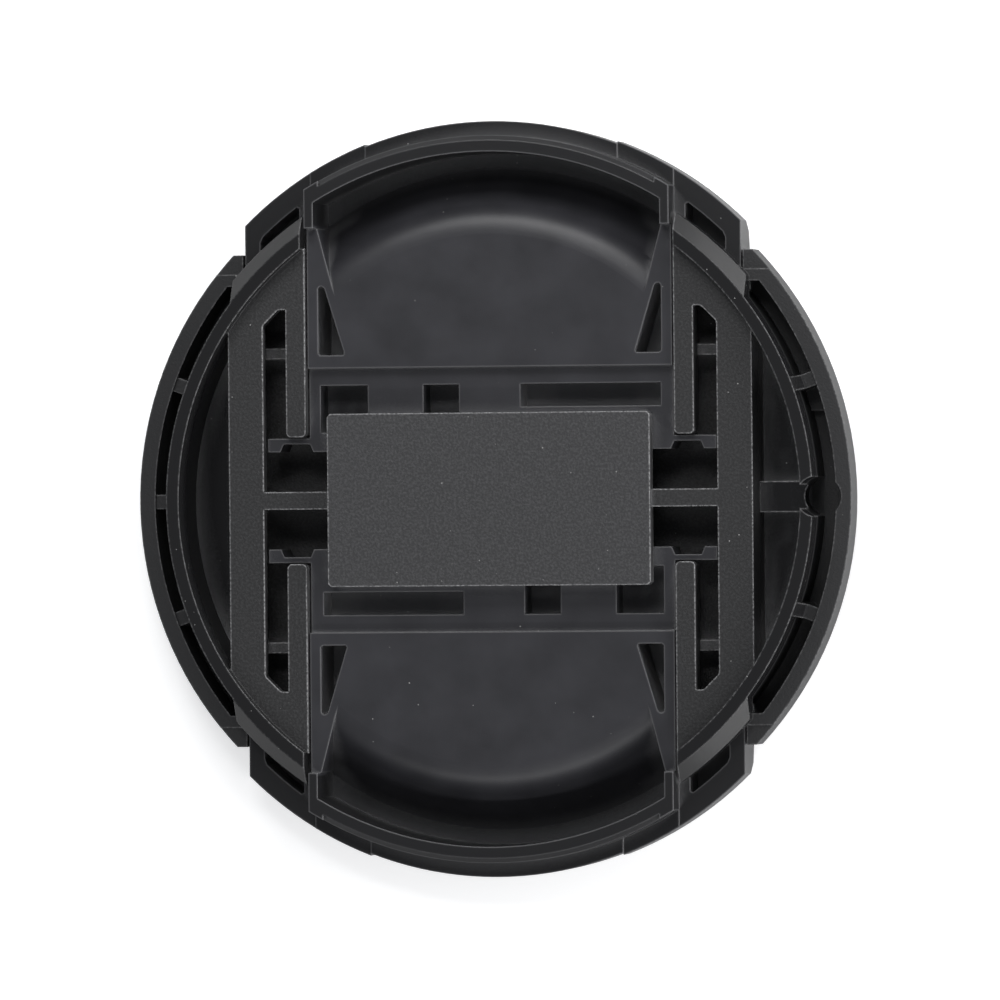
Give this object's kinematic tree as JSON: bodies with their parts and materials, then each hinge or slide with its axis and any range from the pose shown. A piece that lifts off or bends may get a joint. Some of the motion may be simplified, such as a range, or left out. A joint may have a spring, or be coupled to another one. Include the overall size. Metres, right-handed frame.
{
  "type": "lens cap",
  "caption": "Round centre-pinch lens cap: a moulded body with sprung pinch levers whose lips grip a lens's filter thread, with finger wells in the front.",
  "frame": {"origin": "centre of the front face, which the cap lies on", "axes": "+Z from the front face towards the lens side, +Y along the pinch, +X towards the notch in the rim"},
  "size_m": [0.0598, 0.0624, 0.0084],
  "materials": {
    "body_plastic": "black, coarse spark-eroded texture",
    "lever_plastic": "black, fine matte texture",
    "spring_steel": "drawn spring wire"
  },
  "bodies": {
    "body": {"cap_body": "body_plastic", "left_spring": "spring_steel", "right_spring": "spring_steel"},
    "upper_lever": {"upper_lever": "lever_plastic"},
    "lower_lever": {"lower_lever": "lever_plastic"}
  },
  "joints": [
    {"name": "upper_pinch", "type": "slide", "parent": "body", "child": "upper_lever", "axis": [0, -1, 0], "range_m": [0, 0.0025], "stiffness_N_per_m": 600, "springref_m": -0.0067, "deforming": ["left_spring", "right_spring"]},
    {"name": "lower_pinch", "type": "slide", "parent": "body", "child": "lower_lever", "axis": [0, 1, 0], "range_m": [0, 0.0025], "stiffness_N_per_m": 600, "springref_m": -0.0067, "deforming": ["left_spring", "right_spring"]}
  ]
}
